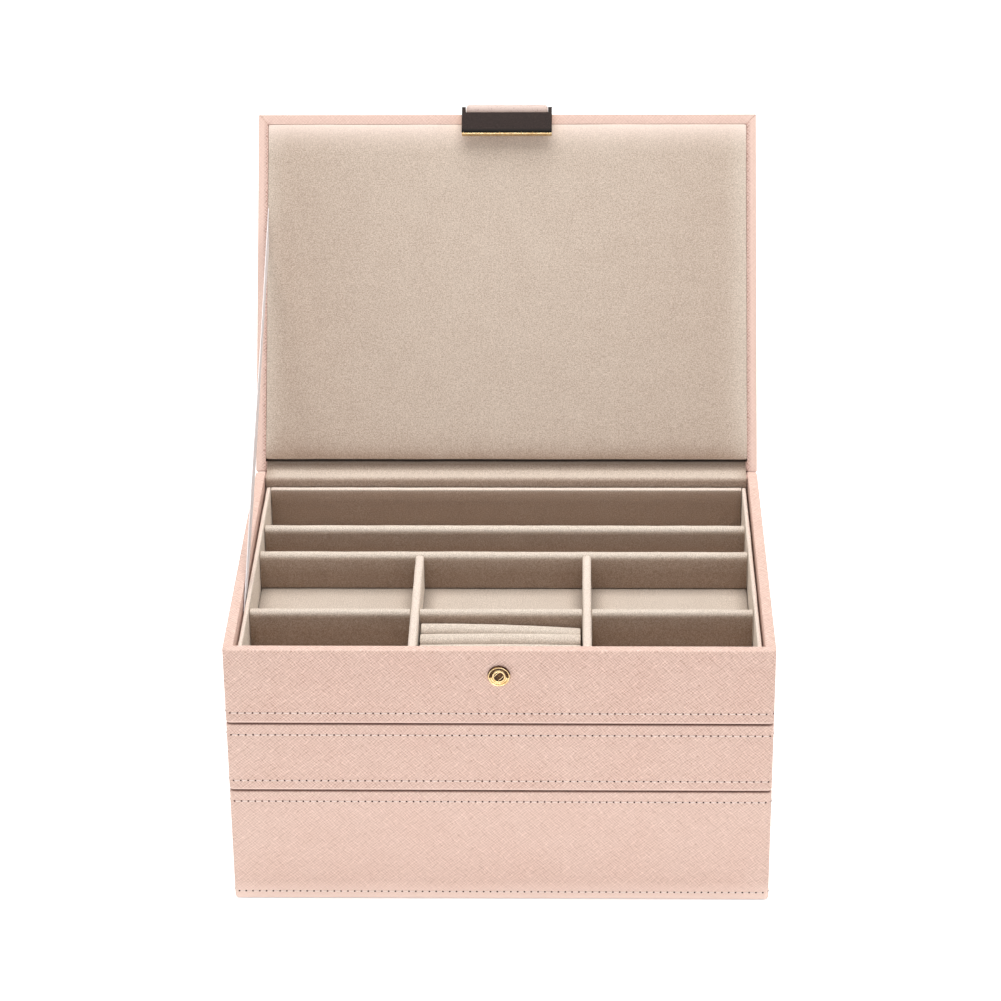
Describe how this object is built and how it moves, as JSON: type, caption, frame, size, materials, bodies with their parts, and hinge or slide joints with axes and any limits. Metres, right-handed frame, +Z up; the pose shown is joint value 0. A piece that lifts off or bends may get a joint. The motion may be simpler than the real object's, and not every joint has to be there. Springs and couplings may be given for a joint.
{
  "type": "tiered jewelry box",
  "caption": "Stacking jewelry box of lift-off velvet-lined trays under a hinged padded lid with a ribbon stay and a press-stud tab.",
  "frame": {"origin": "centre of the lower tier's flat underside", "axes": "+X to the right and +Z up as the open box is seen from the front, +Y towards the lid's hinge"},
  "size_m": [0.25, 0.2889, 0.2921],
  "materials": {
    "leatherette": "blush crosshatched leatherette",
    "velvet": "champagne velvet",
    "ribbon": "satin ribbon",
    "strap": "smooth pale leather",
    "gold": "polished pale gold",
    "enamel": "dark brown gloss enamel",
    "board": "grey fibreboard",
    "foam": "cream foam"
  },
  "bodies": {
    "lower_tier": {"lower_shell": "leatherette", "lower_base_board": "board", "lower_floor_panel": "velvet", "lower_left_liner": "velvet", "lower_right_liner": "velvet", "lower_front_liner": "velvet", "lower_rear_liner": "velvet", "lower_long_divider": "velvet", "lower_cross_divider": "velvet"},
    "middle_tier": {"middle_shell": "leatherette", "middle_base_board": "board", "middle_plinth": "board", "middle_floor_panel": "velvet", "middle_left_liner": "velvet", "middle_right_liner": "velvet", "middle_front_liner": "velvet", "middle_rear_liner": "velvet", "middle_long_divider": "velvet", "middle_left_cross_divider": "velvet", "middle_right_cross_divider": "velvet", "middle_rear_cross_divider": "velvet"},
    "upper_tier": {"upper_shell": "leatherette", "upper_base_board": "board", "upper_plinth": "board", "upper_foam_underlay": "foam", "upper_floor_panel": "velvet", "upper_left_liner": "velvet", "upper_right_liner": "velvet", "upper_front_liner": "velvet", "upper_rear_liner": "velvet", "rear_long_divider": "velvet", "second_long_divider": "velvet", "left_column_divider": "velvet", "right_column_divider": "velvet", "left_row_divider": "velvet", "centre_row_divider": "velvet", "right_row_divider": "velvet", "ring_roll_1": "velvet", "ring_roll_2": "velvet", "ring_roll_3": "velvet", "ring_roll_4": "velvet", "press_stud_cap": "gold", "press_stud_rivet": "gold", "hinge_cloth": "velvet", "hinge_spine": "leatherette", "stay_ribbon": "ribbon"},
    "lid": {"lid_shell": "leatherette", "lid_pad_board": "board", "lid_pad": "velvet", "tab_strap": "strap"},
    "tab": {"tab_plate": "gold", "tab_enamel": "enamel", "tab_snap_post": "gold"}
  },
  "joints": [
    {"name": "middle_lift", "type": "slide", "parent": "lower_tier", "child": "middle_tier", "axis": [0, 0, 1], "range_m": [0, 0.1]},
    {"name": "upper_lift", "type": "slide", "parent": "middle_tier", "child": "upper_tier", "axis": [0, 0, 1], "range_m": [0, 0.1]},
    {"name": "lid_hinge", "type": "hinge", "parent": "upper_tier", "child": "lid", "pos_m": [0, 0.09, 0.1341], "axis": [1, 0, 0], "range_deg": [0, 121.1], "deforming": ["hinge_spine", "hinge_cloth", "stay_ribbon"]},
    {"name": "tab_fold", "type": "hinge", "parent": "lid", "child": "tab", "pos_m": [0, 0.18388, 0.29282], "axis": [1, 0, 0], "range_deg": [-81, 0], "deforming": ["tab_strap"]}
  ],
  "couplings": [
    {"joint": "tab_fold", "follows": "lid_hinge", "ratio": -0.6688}
  ]
}
